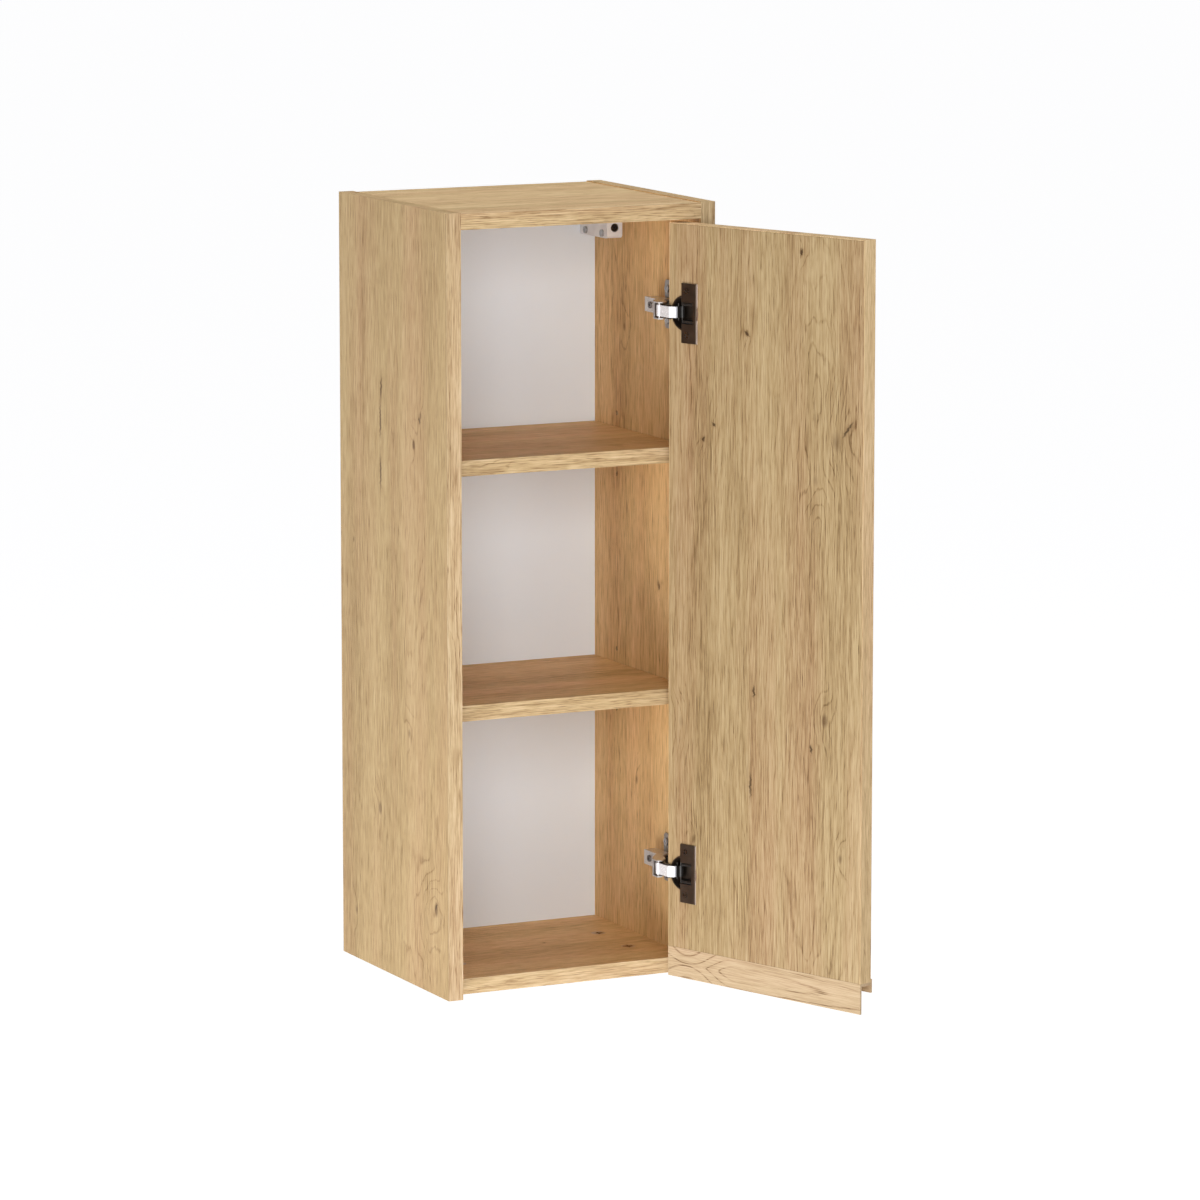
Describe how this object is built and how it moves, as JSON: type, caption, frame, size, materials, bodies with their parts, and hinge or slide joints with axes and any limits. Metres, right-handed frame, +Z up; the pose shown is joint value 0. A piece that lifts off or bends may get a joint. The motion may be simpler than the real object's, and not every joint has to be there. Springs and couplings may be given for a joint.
{
  "type": "hanging wall cabinet",
  "caption": "Tall narrow wall cabinet with loose shelves, an inset door on cup hinges with a grip profile along its lower edge, and hidden hangers in the rear corners.",
  "frame": {"origin": "on the wall plane, at the middle of the lower rear edge", "axes": "+Z up, +Y into the wall, +X to the right seen from the front"},
  "size_m": [0.36, 0.5041, 0.8],
  "materials": {
    "oak_board": "melamine oak decor",
    "oak_door": "melamine oak decor, vertical grain",
    "oak_band": "edge band, oak decor",
    "oak_foil": "foil-wrapped profile",
    "white_hardboard": "white lacquered face",
    "beech": "turned",
    "zinc_casting": "die-cast",
    "zinc_steel": "zinc plated",
    "hanger_steel": "zinc plated sheet",
    "nickel": "nickel plated",
    "bright_nickel": "polished nickel plate",
    "bronze_steel": "dark bronze plated",
    "black_plastic": "moulded"
  },
  "bodies": {
    "carcass": {"back_panel": "white_hardboard", "bottom_cam_bolts": "zinc_steel", "bottom_cam_locks": "zinc_casting", "bottom_dowels": "beech", "bottom_edge_band": "oak_band", "bottom_panel": "oak_board", "left_hanger_adjusting_screw": "zinc_steel", "left_hanger_body": "hanger_steel", "left_hanger_fixing_screws": "zinc_steel", "left_side_edge_band": "oak_band", "left_side_panel": "oak_board", "lower_hinge_arm": "nickel", "lower_hinge_arm_pins": "zinc_steel", "lower_hinge_arm_screws": "zinc_steel", "lower_hinge_plate": "nickel", "lower_hinge_plate_screws": "zinc_steel", "lower_shelf": "oak_board", "lower_shelf_edge_band": "oak_band", "lower_shelf_pins": "zinc_steel", "right_hanger_adjusting_screw": "zinc_steel", "right_hanger_body": "hanger_steel", "right_hanger_fixing_screws": "zinc_steel", "right_side_edge_band": "oak_band", "right_side_panel": "oak_board", "top_cam_bolts": "zinc_steel", "top_cam_locks": "zinc_casting", "top_dowels": "beech", "top_edge_band": "oak_band", "top_panel": "oak_board", "upper_hinge_arm": "nickel", "upper_hinge_arm_pins": "zinc_steel", "upper_hinge_arm_screws": "zinc_steel", "upper_hinge_plate": "nickel", "upper_hinge_plate_screws": "zinc_steel", "upper_shelf": "oak_board", "upper_shelf_edge_band": "oak_band", "upper_shelf_pins": "zinc_steel"},
    "outer_links": {"lower_hinge_outer_link": "bright_nickel", "upper_hinge_outer_link": "bright_nickel"},
    "inner_links": {"lower_hinge_inner_link": "nickel", "upper_hinge_inner_link": "nickel"},
    "door": {"door_free_edge_band": "oak_band", "door_hinge_edge_band": "oak_band", "door_panel": "oak_door", "door_top_edge_band": "oak_band", "handle_profile": "oak_foil", "lower_hinge_cup": "bronze_steel", "lower_hinge_cup_pins": "zinc_steel", "lower_hinge_cup_screws": "zinc_steel", "lower_hinge_damper": "black_plastic", "upper_hinge_cup": "bronze_steel", "upper_hinge_cup_pins": "zinc_steel", "upper_hinge_cup_screws": "zinc_steel", "upper_hinge_damper": "black_plastic"},
    "left_hook": {"left_hanger_hook": "hanger_steel"},
    "right_hook": {"right_hanger_hook": "hanger_steel"}
  },
  "joints": [
    {"name": "outer_link_pivot", "type": "hinge", "parent": "carcass", "child": "outer_links", "pos_m": [0.098, -0.243, 0.4], "axis": [0, 0, 1], "range_deg": [0, 23.45]},
    {"name": "door_swing", "type": "hinge", "parent": "outer_links", "child": "door", "pos_m": [0.11352, -0.26417, 0.4], "axis": [0, 0, -1], "range_deg": [0, 133.41]},
    {"name": "inner_link_pivot", "type": "hinge", "parent": "carcass", "child": "inner_links", "pos_m": [0.10498, -0.23507, 0.4], "axis": [0, 0, 1], "range_deg": [0, 33.5]},
    {"name": "left_hook_height", "type": "slide", "parent": "carcass", "child": "left_hook", "axis": [0, 0, 1], "range_m": [-0.004, 0.004]},
    {"name": "right_hook_height", "type": "slide", "parent": "carcass", "child": "right_hook", "axis": [0, 0, 1], "range_m": [-0.004, 0.004]}
  ],
  "couplings": [
    {"joint": "outer_link_pivot", "follows": "door_swing", "ratio": 0.17545},
    {"joint": "inner_link_pivot", "follows": "door_swing", "ratio": 0.25075}
  ]
}
